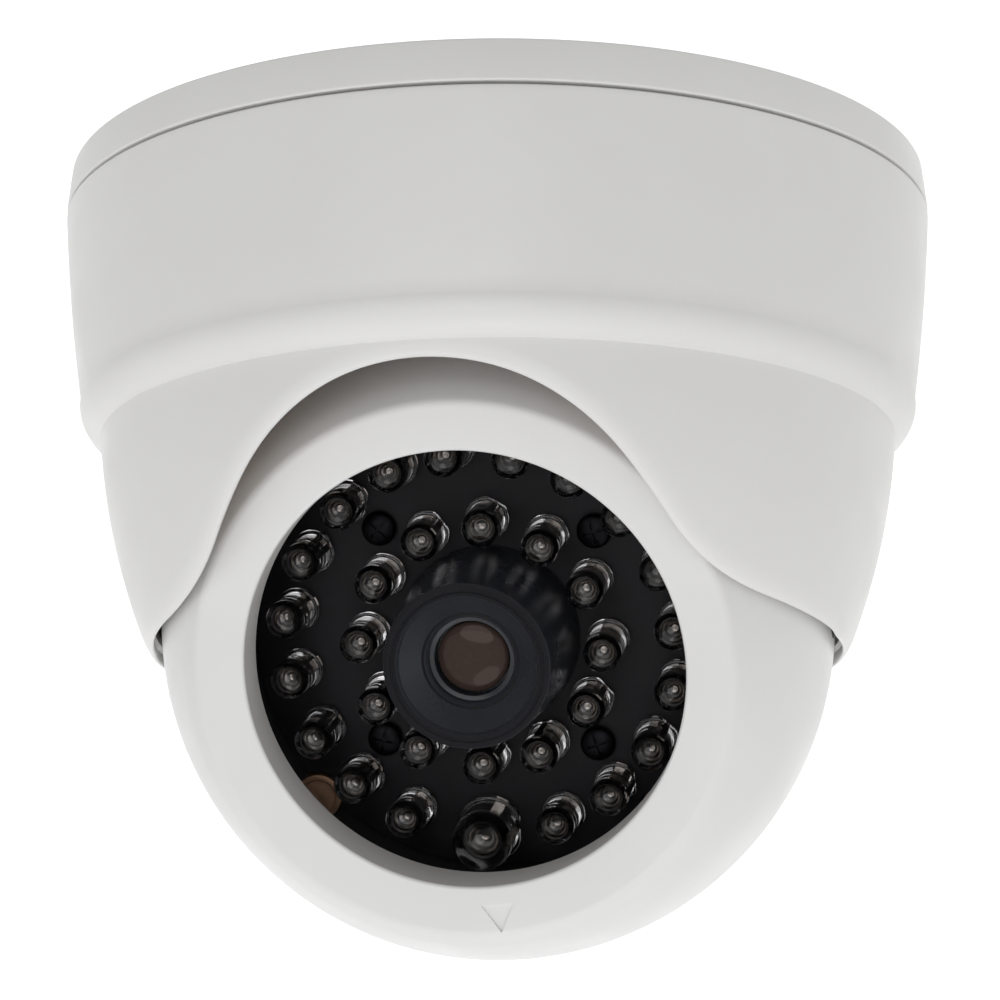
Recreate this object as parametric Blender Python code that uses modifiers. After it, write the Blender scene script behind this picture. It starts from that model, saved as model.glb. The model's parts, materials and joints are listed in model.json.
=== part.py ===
"""Ceiling dome camera: a round base, a turning cover with an arched cutout, and a tilting ball.

The frame is +Z up with its origin at the centre of the ceiling face, so the camera hangs below
z = 0. The cutout and the camera face look towards -Y. All sizes are in metres.
"""

import math

import bmesh
import bpy

# Ceiling base and the turning joint
BASE_RADIUS = 0.0590
BASE_TOP_RADIUS = 0.0587
BASE_HEIGHT = 0.00575
BASE_WALL = 0.0028
PLATE_THICKNESS = 0.0030
HUB_RADIUS = 0.0180
HUB_BORE = 0.0100
HUB_BOTTOM = -0.01075
MOUNT_HOLE_RADIUS = 0.0024
MOUNT_CIRCLE = 0.0400
CABLE_BORE = 0.0040
GROMMET_TOP = -0.0005
GROMMET_CHAMFER = 0.0007
GROMMET_WAIST = -0.0075
GROMMET_NECK_RADIUS = 0.0070
GROMMET_NECK = -0.0090
GROMMET_TIP_RADIUS = 0.0056
GROMMET_TIP = -0.0125
RING_THICKNESS = 0.0018
RING_RADIUS = 0.0225
RING_SCREW_CIRCLE = 0.0140
THREAD_DEPTH = 0.0062
PAN_PLATE_TOP = -0.00845
PAN_PLATE_THICKNESS = 0.0020
COVER_SCREW_CIRCLE = 0.0515

# Cover
COVER_TOP = -0.00615
COVER_WALL = 0.0019
COVER_FLANGE_INNER = 0.0470
COVER_FLANGE_THICKNESS = 0.0020
DRUM_RADIUS = 0.0590
DRUM_TOP = -0.0060
DRUM_TAPER = 0.048
DRUM_BULGE = 1.9
SHOULDER_TOP = -0.0317
SHOULDER_ROUND = 0.0047
CREASE_RADIUS = 0.0537
CREASE_HEIGHT = -0.0369
SKIRT_SLOPE = 0.065
SKIRT_BULGE = 6.0
SKIRT_BOTTOM = -0.0660
ARCH_APEX = -0.0388
CROWN_RADIUS = 0.0350
CROWN_SLOPE = math.radians(13.5)
ARCH_RADIUS = 0.0295
ARCH_SLOPE = math.radians(56.3)
ARCH_FLANK = 0.0070
FLARE_RADIUS = 0.0150
FLARE_END = math.radians(10)
FLARE_RUN = 0.0200
CUTTER_DEPTH = 0.0100
CUTTER_REACH = 0.0750

# Ball
BALL_CENTRE = -0.06125
BALL_RADIUS = 0.04505
BALL_WALL = 0.0022
BALL_CLEARANCE = 0.00045
FACE_TILT = math.radians(24.5)
RIDGE_DEPTH = 0.0281
MOUTH_RADIUS = 0.0285
MOUTH_DEPTH = 0.0276
COLLAR_DEPTH = 0.0207
COLLAR_WALL = 0.0020
SPLIT_DEPTH = -0.0180
REAR_HOLE = 0.0080

# Tilt pivots: a pin in each ear of the cover, turning in a friction bush in the ball
PIN_RADIUS = 0.0020
PIN_INNER_END = 0.0405
PIN_OUTER_END = 0.0464
EAR_PAD_RADIUS = 0.0034
EAR_PAD_INNER = 0.0455
EAR_PAD_OUTER = 0.0468
BUSH_RADIUS = 0.0036
BUSH_INNER_END = 0.0403
BUSH_OUTER_END = 0.0440
PIVOT_BOSS_RADIUS = 0.0068
PIVOT_BOSS_END = 0.0400

# Camera module, measured along the face axis from the ball's centre
MODULE_ROLL = math.radians(-3.9)
CARRIER_RADIUS = 0.0394
CARRIER_BACK = 0.0008
CARRIER_FRONT = 0.0038
BOARD_RADIUS = 0.0318
BOARD_BACK = 0.0056
BOARD_FRONT = 0.0072
BOARD_BORE = 0.0092
NOTCH_CIRCLE = 0.0330
NOTCH_RADIUS = 0.0034
NOTCH_TURN = math.radians(43.7)
BOARD_SCREW_CIRCLE = 0.0203
INNER_LED_COUNT = 12
INNER_LED_CIRCLE = 0.0160
OUTER_LED_COUNT = 18
OUTER_LED_CIRCLE = 0.0258
OUTER_LED_STEP = math.radians(18.5)
LED_RADIUS = 0.0025
LED_FLANGE_RADIUS = 0.0029
LED_FLANGE = 0.0010
LED_STAND = 0.0012
LED_FOOT_RADIUS = 0.0018
LED_TIP = 0.0176
SENSOR_LENS_RADIUS = 0.0040
SENSOR_LENS_FLANGE = 0.0045
SENSOR_LENS_TIP = 0.0184
SENSOR_LENS_CIRCLE = 0.0262
SHROUD_BASE_RADIUS = 0.0122
SHROUD_TIP_RADIUS = 0.0109
SHROUD_TIP = 0.0249
SHROUD_CONE_RADIUS = 0.0089
SHROUD_LIP_RADIUS = 0.0056
SHROUD_LIP = 0.0209
BARREL_RADIUS = 0.00605
BARREL_HEAD_RADIUS = 0.0069
BARREL_FRONT = 0.0206
BARREL_HEAD_BACK = 0.0138
BARREL_BACK = -0.0030
GLASS_RADIUS = 0.00465
HOLDER_RADIUS = 0.0086
HOLDER_FOOT_RADIUS = 0.0105
HOLDER_BACK = -0.0086
SENSOR_BOARD_SIZE = 0.0340
SENSOR_BOARD_THICKNESS = 0.0016
SENSOR_SIZE = 0.0080
SENSOR_THICKNESS = 0.0012

# Small radii of edges and joints
EDGE_CHAMFER = 0.0004
PLATE_CLEARANCE = 0.0007
BOSS_RECESS = 0.0012
BORE_START = 0.0380
SOCKET_START = 0.0420
SNAP_LENGTH = 0.0042
SNAP_CLEARANCE = 0.0005
SNAP_WALL = 0.0014
SCREW_TIP_COVER = 0.0008
GLASS_SEAT_DEPTH = 0.0025
GLASS_EDGE = 0.0009
GLASS_CROWN = 0.0010
BARREL_BORE = 0.0040
CONE_EDGE = 0.0005
HOLDER_GAP = 0.0006
HOLDER_FOOT = 0.0015

# Small screws
SCREW_RADIUS = 0.0012
SCREW_HEAD_RADIUS = 0.0023
SCREW_HEAD_HEIGHT = 0.0013
SCREW_HOLE_RADIUS = 0.0015

SEAT = 0.0003
CUT_MARGIN = 0.0020
WIDE_STEPS = 48
BALL_STEPS = 40
SMALL_STEPS = 24
SCREW_STEPS = 10
LED_STEPS = 8


def clear_scene():
    for obj in list(bpy.data.objects):
        bpy.data.objects.remove(obj, do_unlink=True)


def make_collection(name):
    collection = bpy.data.collections.new(name)
    bpy.context.scene.collection.children.link(collection)
    return collection


def make_material(name, colour, roughness, metallic=0.0):
    material = bpy.data.materials.new(name)
    material.use_nodes = True
    shader = material.node_tree.nodes["Principled BSDF"]
    shader.inputs["Base Color"].default_value = (*colour, 1.0)
    shader.inputs["Roughness"].default_value = roughness
    shader.inputs["Metallic"].default_value = metallic
    return material


clear_scene()
CAMERA = make_collection("dome_camera")
CUTTERS = make_collection("cutters")
CUTTERS.hide_render = True


def add_object(name, mesh, material=None, parent=None):
    """Links a new object to the camera's collection, or to the cutters' where it has no material."""
    obj = bpy.data.objects.new(name, mesh)
    if material:
        CAMERA.objects.link(obj)
        mesh.materials.append(material)
    else:
        CUTTERS.objects.link(obj)
        obj.hide_render = True
        obj.display_type = "WIRE"
    obj.parent = parent
    return obj


def add_axis(name, location=(0, 0, 0), rotation=(0, 0, 0), parent=None):
    """An empty whose local Z axis is a joint's or a round piece's axis."""
    empty = bpy.data.objects.new(name, None)
    CAMERA.objects.link(empty)
    empty.location = location
    empty.rotation_euler = rotation
    empty.empty_display_size = 0.01
    empty.parent = parent
    return empty


def turned(name, profile, steps, material=None, parent=None, closed=True):
    """A body turned about local Z. The (radius, height) profile runs down its outer side."""
    mesh = bpy.data.meshes.new(name)
    points = [(radius, 0.0, height) for radius, height in profile]
    edges = [(i, i + 1) for i in range(len(points) - 1)]
    if closed:
        edges.append((len(points) - 1, 0))
    mesh.from_pydata(points, edges, [])
    obj = add_object(name, mesh, material, parent)
    screw = obj.modifiers.new("turn", "SCREW")
    screw.steps = screw.render_steps = steps
    screw.use_merge_vertices = True
    screw.merge_threshold = 0.00001
    screw.use_smooth_shade = True
    return obj


def cylinder(name, radius, low, high, steps, parent=None):
    """A cutter or a boss along local Z, from low to high."""
    shape = bmesh.new()
    bmesh.ops.create_cone(
        shape,
        cap_ends=True,
        segments=steps,
        radius1=radius,
        radius2=radius,
        depth=high - low,
    )
    bmesh.ops.translate(shape, verts=shape.verts, vec=(0, 0, (low + high) / 2))
    mesh = bpy.data.meshes.new(name)
    shape.to_mesh(mesh)
    shape.free()
    return add_object(name, mesh, None, parent)


def block(name, size, material, parent, centre):
    shape = bmesh.new()
    bmesh.ops.create_cube(shape, size=1.0)
    bmesh.ops.scale(shape, verts=shape.verts, vec=size)
    bmesh.ops.translate(shape, verts=shape.verts, vec=centre)
    mesh = bpy.data.meshes.new(name)
    shape.to_mesh(mesh)
    shape.free()
    return add_object(name, mesh, material, parent)


def extruded(name, outline, half_thickness, rotation):
    """A cutter: a flat outline in its own XY plane, given thickness along its Z axis."""
    curve = bpy.data.curves.new(name, "CURVE")
    curve.dimensions = "2D"
    curve.fill_mode = "BOTH"
    curve.extrude = half_thickness
    spline = curve.splines.new("POLY")
    spline.points.add(len(outline) - 1)
    for point, (x, y) in zip(spline.points, outline):
        point.co = (x, y, 0, 1)
    spline.use_cyclic_u = True
    guide = bpy.data.objects.new(name + "_outline", curve)
    CUTTERS.objects.link(guide)
    bpy.context.view_layer.update()
    graph = bpy.context.evaluated_depsgraph_get()
    mesh = bpy.data.meshes.new_from_object(guide.evaluated_get(graph))
    bpy.data.objects.remove(guide, do_unlink=True)
    shape = bmesh.new()
    shape.from_mesh(mesh)
    bmesh.ops.remove_doubles(shape, verts=shape.verts, dist=0.000001)
    bmesh.ops.recalc_face_normals(shape, faces=shape.faces)
    shape.to_mesh(mesh)
    shape.free()
    mesh.name = name
    obj = add_object(name, mesh)
    obj.rotation_euler = rotation
    return obj


def boolean(obj, other, operation="DIFFERENCE"):
    modifier = obj.modifiers.new(other.name, "BOOLEAN")
    modifier.operation = operation
    modifier.object = other


def sphere_arc(radius, start_depth, end_depth, count):
    """Points (radius, depth) on a sphere about the origin, evenly turned between two depths."""
    start = math.asin(start_depth / radius)
    end = math.asin(end_depth / radius)
    angles = [start + (end - start) * i / count for i in range(count + 1)]
    return [(radius * math.cos(a), radius * math.sin(a)) for a in angles]


def circle_places(count, radius, first=0.0):
    """The number, from 1, and the (x, y) of each of count places on a circle."""
    for i in range(count):
        angle = first + 2 * math.pi * i / count
        yield i + 1, (radius * math.cos(angle), radius * math.sin(angle))


WHITE = make_material("white_plastic", (0.62, 0.62, 0.61), 0.42)
BALL_WHITE = make_material("ball_plastic", (0.64, 0.64, 0.63), 0.40)
BLACK = make_material("black_plastic", (0.02, 0.02, 0.022), 0.45)
RUBBER = make_material("black_rubber", (0.03, 0.03, 0.03), 0.8)
STEEL = make_material("zinc_steel", (0.6, 0.6, 0.6), 0.35, 1.0)
BLACK_STEEL = make_material("black_screw", (0.03, 0.03, 0.03), 0.4, 0.6)
BOARD = make_material("led_board_finish", (0.012, 0.012, 0.015), 0.35)
GREEN_BOARD = make_material("sensor_board_finish", (0.02, 0.12, 0.05), 0.4)
CLEAR = make_material("clear_epoxy", (0.85, 0.87, 0.9), 0.05)
GLASS = make_material("coated_glass", (0.06, 0.04, 0.035), 0.03)
CHIP = make_material("sensor_chip", (0.05, 0.05, 0.07), 0.2)

PAN_AXIS = add_axis("pan_axis")
TILT_AXIS = add_axis("tilt_axis", (0, 0, BALL_CENTRE), (0, math.radians(90), 0), PAN_AXIS)
FACE_AXIS = add_axis("face_axis", (0, 0, BALL_CENTRE), (math.radians(90) + FACE_TILT, 0, 0), PAN_AXIS)
MODULE_AXIS = add_axis("module_axis", (0, 0, 0), (0, 0, MODULE_ROLL), FACE_AXIS)


def screw(name, place, head_seat, tip, material, parent, head_side=-1):
    """A pan-head screw along local Z; its head is below head_seat (-1) or above it (+1)."""
    head_end = head_seat + head_side * SCREW_HEAD_HEIGHT
    profile = [
        (0, tip),
        (SCREW_RADIUS, tip),
        (SCREW_RADIUS, head_seat),
        (SCREW_HEAD_RADIUS, head_seat),
        (SCREW_HEAD_RADIUS, head_end),
        (0, head_end),
    ]
    if head_side > 0:
        profile.reverse()
    obj = turned(name, profile, SCREW_STEPS, material, parent, closed=False)
    obj.location = (*place, 0)
    return obj


def screw_hole(obj, name, place, low, high, parent):
    hole = cylinder(name, SCREW_HOLE_RADIUS, low, high, SCREW_STEPS, parent)
    hole.location = (*place, 0)
    boolean(obj, hole)


def make_base():
    rim_inner = BASE_RADIUS - BASE_WALL
    profile = [
        (HUB_BORE, 0),
        (BASE_TOP_RADIUS - EDGE_CHAMFER, 0),
        (BASE_TOP_RADIUS, -EDGE_CHAMFER),
        (BASE_RADIUS, EDGE_CHAMFER - BASE_HEIGHT),
        (BASE_RADIUS - EDGE_CHAMFER, -BASE_HEIGHT),
        (rim_inner, -BASE_HEIGHT),
        (rim_inner, -PLATE_THICKNESS),
        (HUB_RADIUS, -PLATE_THICKNESS),
        (HUB_RADIUS, HUB_BOTTOM),
        (HUB_BORE, HUB_BOTTOM),
    ]
    base = turned("mounting_base", profile, WIDE_STEPS, WHITE)
    for i, place in circle_places(3, MOUNT_CIRCLE, math.radians(90)):
        low = -PLATE_THICKNESS - CUT_MARGIN
        hole = cylinder(f"mount_hole_{i}", MOUNT_HOLE_RADIUS, low, CUT_MARGIN, 16)
        hole.location = (*place, 0)
        boolean(base, hole)
    ring_top = HUB_BOTTOM - SEAT
    ring_bottom = ring_top - RING_THICKNESS
    ring_profile = [
        (HUB_BORE + SEAT, ring_top),
        (RING_RADIUS, ring_top),
        (RING_RADIUS, ring_bottom),
        (HUB_BORE + SEAT, ring_bottom),
    ]
    ring = turned("retaining_ring", ring_profile, 36, STEEL)
    tip = HUB_BOTTOM + THREAD_DEPTH
    for i, place in circle_places(3, RING_SCREW_CIRCLE, math.radians(30)):
        screw_hole(base, f"hub_hole_{i}", place, HUB_BOTTOM - CUT_MARGIN, tip + SEAT, None)
        screw_hole(ring, f"ring_hole_{i}", place, ring_bottom - CUT_MARGIN, ring_top + CUT_MARGIN, None)
        screw(f"ring_screw_{i}", place, ring_bottom - SEAT, tip, STEEL, None)


def make_grommet():
    """A tapered bush in the hub, where the cable passes the ceiling face."""
    outer = HUB_BORE - SEAT
    profile = [
        (CABLE_BORE, GROMMET_TOP),
        (outer - GROMMET_CHAMFER, GROMMET_TOP),
        (outer, GROMMET_TOP - GROMMET_CHAMFER),
        (outer, GROMMET_WAIST),
        (GROMMET_NECK_RADIUS, GROMMET_NECK),
        (GROMMET_TIP_RADIUS, GROMMET_TIP),
        (CABLE_BORE, GROMMET_TIP),
    ]
    turned("cable_grommet", profile, SMALL_STEPS, RUBBER)


def drum_radius(height):
    drop = DRUM_TOP - height
    return DRUM_RADIUS - DRUM_TAPER * drop - DRUM_BULGE * drop * drop


def skirt_radius(height):
    drop = CREASE_HEIGHT - height
    return CREASE_RADIUS - SKIRT_SLOPE * drop - SKIRT_BULGE * drop * drop


def shoulder(count):
    """The round between the drum and the crease: an arc through both, bulging outwards."""
    x0, z0 = drum_radius(SHOULDER_TOP), SHOULDER_TOP
    x1, z1 = CREASE_RADIUS, CREASE_HEIGHT
    half_chord = math.hypot(x1 - x0, z1 - z0) / 2
    back = math.sqrt(SHOULDER_ROUND**2 - half_chord**2)
    along = ((x1 - x0) / (2 * half_chord), (z1 - z0) / (2 * half_chord))
    centre_x = (x0 + x1) / 2 + back * along[1]
    centre_z = (z0 + z1) / 2 - back * along[0]
    start = math.atan2(z0 - centre_z, x0 - centre_x)
    end = math.atan2(z1 - centre_z, x1 - centre_x)
    angles = [start + (end - start) * i / count for i in range(1, count)]
    return [
        (centre_x + SHOULDER_ROUND * math.cos(a), centre_z + SHOULDER_ROUND * math.sin(a))
        for a in angles
    ]


def spread(start, end, count):
    return [start + (end - start) * i / count for i in range(count + 1)]


def cover_profile():
    drum_heights = spread(COVER_TOP - EDGE_CHAMFER, SHOULDER_TOP, 3)
    skirt_heights = spread(CREASE_HEIGHT, SKIRT_BOTTOM, 6)
    outer = [(COVER_FLANGE_INNER, COVER_TOP), (DRUM_RADIUS - EDGE_CHAMFER, COVER_TOP)]
    outer += [(drum_radius(z), z) for z in drum_heights]
    outer += shoulder(4)
    outer += [(skirt_radius(z), z) for z in skirt_heights]
    narrowest = BALL_RADIUS + BALL_CLEARANCE
    inner_heights = spread(SKIRT_BOTTOM, CREASE_HEIGHT, 5)
    inner = [(max(skirt_radius(z) - COVER_WALL, narrowest), z) for z in inner_heights]
    inner += [(x - COVER_WALL, z) for x, z in reversed(shoulder(2))]
    flange_bottom = COVER_TOP - COVER_FLANGE_THICKNESS
    inner += [(drum_radius(z) - COVER_WALL, z) for z in (SHOULDER_TOP, flange_bottom)]
    inner.append((COVER_FLANGE_INNER, flange_bottom))
    return outer + inner


def cutout_half():
    """The right half of the bell-shaped opening, as (x, z), from its apex to below the lip."""
    crown = spread(0, CROWN_SLOPE, 3)
    crown_z = ARCH_APEX - CROWN_RADIUS
    points = [(CROWN_RADIUS * math.sin(a), crown_z + CROWN_RADIUS * math.cos(a)) for a in crown]
    x, z = points[-1]
    arch_x = x - ARCH_RADIUS * math.sin(CROWN_SLOPE)
    arch_z = z - ARCH_RADIUS * math.cos(CROWN_SLOPE)
    for a in spread(CROWN_SLOPE, ARCH_SLOPE, 7)[1:]:
        points.append((arch_x + ARCH_RADIUS * math.sin(a), arch_z + ARCH_RADIUS * math.cos(a)))
    x, z = points[-1]
    x += ARCH_FLANK * math.cos(ARCH_SLOPE)
    z -= ARCH_FLANK * math.sin(ARCH_SLOPE)
    flare_x = x + FLARE_RADIUS * math.sin(ARCH_SLOPE)
    flare_z = z + FLARE_RADIUS * math.cos(ARCH_SLOPE)
    for i in range(6):
        a = ARCH_SLOPE + (FLARE_END - ARCH_SLOPE) * i / 5
        points.append((flare_x - FLARE_RADIUS * math.sin(a), flare_z - FLARE_RADIUS * math.cos(a)))
    x, z = points[-1]
    points.append((x + FLARE_RUN * math.cos(FLARE_END), z - FLARE_RUN * math.sin(FLARE_END)))
    return points


def make_cover():
    cover = turned("dome_cover", cover_profile(), WIDE_STEPS, WHITE, PAN_AXIS)
    half = cutout_half()
    end_x, end_z = half[-1]
    floor = (end_x, end_z - CUTTER_DEPTH)
    outline = half + [floor, (-floor[0], floor[1])] + [(-x, z) for x, z in reversed(half[1:])]
    cutter = extruded("cutout", outline, CUTTER_REACH / 2, (math.radians(90), 0, 0))
    cutter.location = (0, -CUT_MARGIN - CUTTER_REACH / 2, 0)
    boolean(cover, cutter)
    return cover


def make_pan_plate(cover):
    """The turning plate that carries the cover's flange, and the screws that join the two."""
    bottom = PAN_PLATE_TOP - PAN_PLATE_THICKNESS
    outer = DRUM_RADIUS - COVER_WALL - PLATE_CLEARANCE
    profile = [
        (HUB_RADIUS + SEAT, PAN_PLATE_TOP),
        (outer, PAN_PLATE_TOP),
        (outer, bottom),
        (HUB_RADIUS + SEAT, bottom),
    ]
    plate = turned("pan_plate", profile, WIDE_STEPS, STEEL, PAN_AXIS)
    above = COVER_TOP + CUT_MARGIN
    for i, place in circle_places(3, COVER_SCREW_CIRCLE, math.radians(90)):
        screw_hole(plate, f"plate_hole_{i}", place, bottom - CUT_MARGIN, above, None)
        screw_hole(cover, f"flange_hole_{i}", place, bottom - CUT_MARGIN, above, None)
        screw(f"cover_screw_{i}", place, bottom - SEAT, COVER_TOP - SEAT, STEEL, PAN_AXIS)


def make_front_shell(cover):
    inner_radius = BALL_RADIUS - BALL_WALL
    bezel_back = MOUTH_DEPTH - BALL_WALL
    profile = [(MOUTH_RADIUS, MOUTH_DEPTH)]
    profile += sphere_arc(BALL_RADIUS, RIDGE_DEPTH, SPLIT_DEPTH, 9)
    profile += sphere_arc(inner_radius, SPLIT_DEPTH, bezel_back, 7)
    profile += [
        (MOUTH_RADIUS + COLLAR_WALL, bezel_back),
        (MOUTH_RADIUS + COLLAR_WALL, COLLAR_DEPTH),
        (MOUTH_RADIUS, COLLAR_DEPTH),
    ]
    shell = turned("ball_front_shell", profile, BALL_STEPS, BALL_WHITE, FACE_AXIS)
    for turn, label in ((math.pi, "left"), (0, "right")):
        axis = add_axis(f"pivot_axis_{label}", (0, 0, 0), (0, turn, 0), TILT_AXIS)
        boss_end = BALL_RADIUS - BOSS_RECESS
        boss = cylinder(f"pivot_boss_{label}", PIVOT_BOSS_RADIUS, PIVOT_BOSS_END, boss_end, 20, axis)
        boolean(shell, boss, "UNION")
        beyond = BALL_RADIUS + CUT_MARGIN
        bore = cylinder(f"bush_bore_{label}", BUSH_RADIUS + SEAT, BORE_START, beyond, 16, axis)
        boolean(shell, bore)
        pad = cylinder(f"ear_pad_{label}", EAR_PAD_RADIUS, EAR_PAD_INNER, EAR_PAD_OUTER, 20, axis)
        boolean(cover, pad, "UNION")
        socket_end = PIN_OUTER_END + SEAT
        bore_radius = PIN_RADIUS + SEAT
        socket = cylinder(f"pin_socket_{label}", bore_radius, SOCKET_START, socket_end, 14, axis)
        boolean(cover, socket)
        make_pivot(label, axis)


def make_pivot(label, axis):
    pin_profile = [
        (0, PIN_OUTER_END),
        (PIN_RADIUS, PIN_OUTER_END),
        (PIN_RADIUS, PIN_INNER_END),
        (0, PIN_INNER_END),
    ]
    turned(f"pivot_pin_{label}", pin_profile, 14, STEEL, axis, closed=False)
    bush_profile = [
        (PIN_RADIUS + SEAT, BUSH_OUTER_END),
        (BUSH_RADIUS, BUSH_OUTER_END),
        (BUSH_RADIUS, BUSH_INNER_END),
        (PIN_RADIUS + SEAT, BUSH_INNER_END),
    ]
    turned(f"friction_bush_{label}", bush_profile, 16, RUBBER, axis)


def make_rear_shell():
    inner_radius = BALL_RADIUS - BALL_WALL
    start = SPLIT_DEPTH - SEAT
    lip_outer = math.sqrt(inner_radius**2 - SPLIT_DEPTH**2) - SNAP_CLEARANCE
    lip_inner = lip_outer - SNAP_WALL
    hole_outer = -math.sqrt(BALL_RADIUS**2 - REAR_HOLE**2)
    hole_inner = -math.sqrt(inner_radius**2 - REAR_HOLE**2)
    lip_back = -math.sqrt(inner_radius**2 - lip_inner**2)
    front = start + SNAP_LENGTH
    profile = [(lip_inner, front), (lip_outer, front), (lip_outer, start)]
    profile += sphere_arc(BALL_RADIUS, start, hole_outer, 5)
    profile += sphere_arc(inner_radius, hole_inner, lip_back, 4)
    turned("ball_rear_shell", profile, BALL_STEPS, BALL_WHITE, FACE_AXIS)


def make_boards():
    carrier_profile = [
        (HOLDER_RADIUS + SEAT, CARRIER_FRONT),
        (CARRIER_RADIUS, CARRIER_FRONT),
        (CARRIER_RADIUS, CARRIER_BACK),
        (HOLDER_RADIUS + SEAT, CARRIER_BACK),
    ]
    carrier = turned("module_carrier", carrier_profile, 40, BLACK, MODULE_AXIS)
    board_profile = [
        (BOARD_BORE, BOARD_FRONT),
        (BOARD_RADIUS, BOARD_FRONT),
        (BOARD_RADIUS, BOARD_BACK),
        (BOARD_BORE, BOARD_BACK),
    ]
    board = turned("led_board", board_profile, 40, BOARD, MODULE_AXIS)
    cut_back, cut_front = CARRIER_BACK - CUT_MARGIN, BOARD_FRONT + CUT_MARGIN
    for i, place in circle_places(4, NOTCH_CIRCLE, NOTCH_TURN):
        notch = cylinder(f"board_notch_{i}", NOTCH_RADIUS, cut_back, cut_front, 14, MODULE_AXIS)
        notch.location = (*place, 0)
        boolean(board, notch)
    screws = circle_places(4, BOARD_SCREW_CIRCLE, math.radians(45))
    tip = CARRIER_BACK + SCREW_TIP_COVER
    for i, place in screws:
        screw_hole(board, f"board_hole_{i}", place, cut_back, cut_front, MODULE_AXIS)
        screw_hole(carrier, f"carrier_hole_{i}", place, cut_back, cut_front, MODULE_AXIS)
        screw(f"board_screw_{i}", place, BOARD_FRONT + SEAT, tip, BLACK_STEEL, MODULE_AXIS, 1)
    back = HOLDER_BACK - SEAT
    centre = (0, 0, back - SENSOR_BOARD_THICKNESS / 2)
    size = (SENSOR_BOARD_SIZE, SENSOR_BOARD_SIZE, SENSOR_BOARD_THICKNESS)
    block("sensor_board", size, GREEN_BOARD, MODULE_AXIS, centre)
    chip_centre = (0, 0, HOLDER_BACK + SENSOR_THICKNESS / 2)
    block("image_sensor", (SENSOR_SIZE, SENSOR_SIZE, SENSOR_THICKNESS), CHIP, MODULE_AXIS, chip_centre)


def led_profile(radius, flange_radius, tip):
    """A round-topped epoxy body on a thin flange, which a narrower foot holds off the board."""
    foot = BOARD_FRONT + SEAT
    flange = foot + LED_STAND
    dome = [math.radians(90) * (1 - i / 3) for i in range(4)]
    points = [(radius * math.cos(a), tip - radius + radius * math.sin(a)) for a in dome]
    points[0] = (0, tip)
    points += [
        (radius, flange + LED_FLANGE),
        (flange_radius, flange + LED_FLANGE),
        (flange_radius, flange),
        (LED_FOOT_RADIUS, flange),
        (LED_FOOT_RADIUS, foot),
        (0, foot),
    ]
    return points


def make_leds():
    profile = led_profile(LED_RADIUS, LED_FLANGE_RADIUS, LED_TIP)
    for i, place in circle_places(INNER_LED_COUNT, INNER_LED_CIRCLE):
        led = turned(f"inner_led_{i:02d}", profile, LED_STEPS, CLEAR, MODULE_AXIS, closed=False)
        led.location = (*place, 0)
    span = OUTER_LED_STEP * (OUTER_LED_COUNT - 1)
    first = math.radians(90) - span / 2
    for i in range(OUTER_LED_COUNT):
        angle = first + OUTER_LED_STEP * i
        name = f"outer_led_{i + 1:02d}"
        led = turned(name, profile, LED_STEPS, CLEAR, MODULE_AXIS, closed=False)
        led.location = (OUTER_LED_CIRCLE * math.cos(angle), OUTER_LED_CIRCLE * math.sin(angle), 0)
    sensor_profile = led_profile(SENSOR_LENS_RADIUS, SENSOR_LENS_FLANGE, SENSOR_LENS_TIP)
    sensor = turned("light_sensor", sensor_profile, 12, CLEAR, MODULE_AXIS, closed=False)
    sensor.location = (0, -SENSOR_LENS_CIRCLE, 0)


def make_lens():
    foot = BOARD_FRONT + SEAT
    cone_start = SHROUD_TIP - CONE_EDGE
    cone_end = cone_start - (SHROUD_CONE_RADIUS - SHROUD_LIP_RADIUS)
    bore = BARREL_HEAD_RADIUS + SEAT
    shroud_profile = [
        (SHROUD_CONE_RADIUS, cone_start),
        (SHROUD_CONE_RADIUS + EDGE_CHAMFER, SHROUD_TIP),
        (SHROUD_TIP_RADIUS, SHROUD_TIP),
        (SHROUD_BASE_RADIUS, foot),
        (bore, foot),
        (bore, SHROUD_LIP),
        (SHROUD_LIP_RADIUS, SHROUD_LIP),
        (SHROUD_LIP_RADIUS, cone_end),
    ]
    turned("lens_shroud", shroud_profile, 32, BLACK, MODULE_AXIS)
    seat = BARREL_FRONT - GLASS_SEAT_DEPTH
    barrel_profile = [
        (GLASS_RADIUS + SEAT, BARREL_FRONT),
        (BARREL_HEAD_RADIUS, BARREL_FRONT),
        (BARREL_HEAD_RADIUS, BARREL_HEAD_BACK),
        (BARREL_RADIUS, BARREL_HEAD_BACK),
        (BARREL_RADIUS, BARREL_BACK),
        (BARREL_BORE, BARREL_BACK),
        (BARREL_BORE, seat),
        (GLASS_RADIUS + SEAT, seat),
    ]
    turned("lens_barrel", barrel_profile, SMALL_STEPS, BLACK, MODULE_AXIS)
    glass_back = seat + SEAT
    glass_edge = glass_back + GLASS_EDGE
    dome = [
        (GLASS_RADIUS * math.sin(a), glass_edge + GLASS_CROWN * math.cos(a))
        for a in (math.radians(23), math.radians(46), math.radians(69))
    ]
    glass_profile = [(0, glass_edge + GLASS_CROWN)] + dome
    glass_profile += [(GLASS_RADIUS, glass_edge), (GLASS_RADIUS, glass_back), (0, glass_back)]
    turned("front_lens", glass_profile, SMALL_STEPS, GLASS, MODULE_AXIS, closed=False)
    holder_front = foot - HOLDER_GAP
    holder_profile = [
        (BARREL_RADIUS + SEAT, holder_front),
        (HOLDER_RADIUS, holder_front),
        (HOLDER_RADIUS, HOLDER_BACK + HOLDER_FOOT),
        (HOLDER_FOOT_RADIUS, HOLDER_BACK + HOLDER_FOOT),
        (HOLDER_FOOT_RADIUS, HOLDER_BACK),
        (BARREL_RADIUS + SEAT, HOLDER_BACK),
    ]
    turned("lens_holder", holder_profile, SMALL_STEPS, BLACK, MODULE_AXIS)


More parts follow.
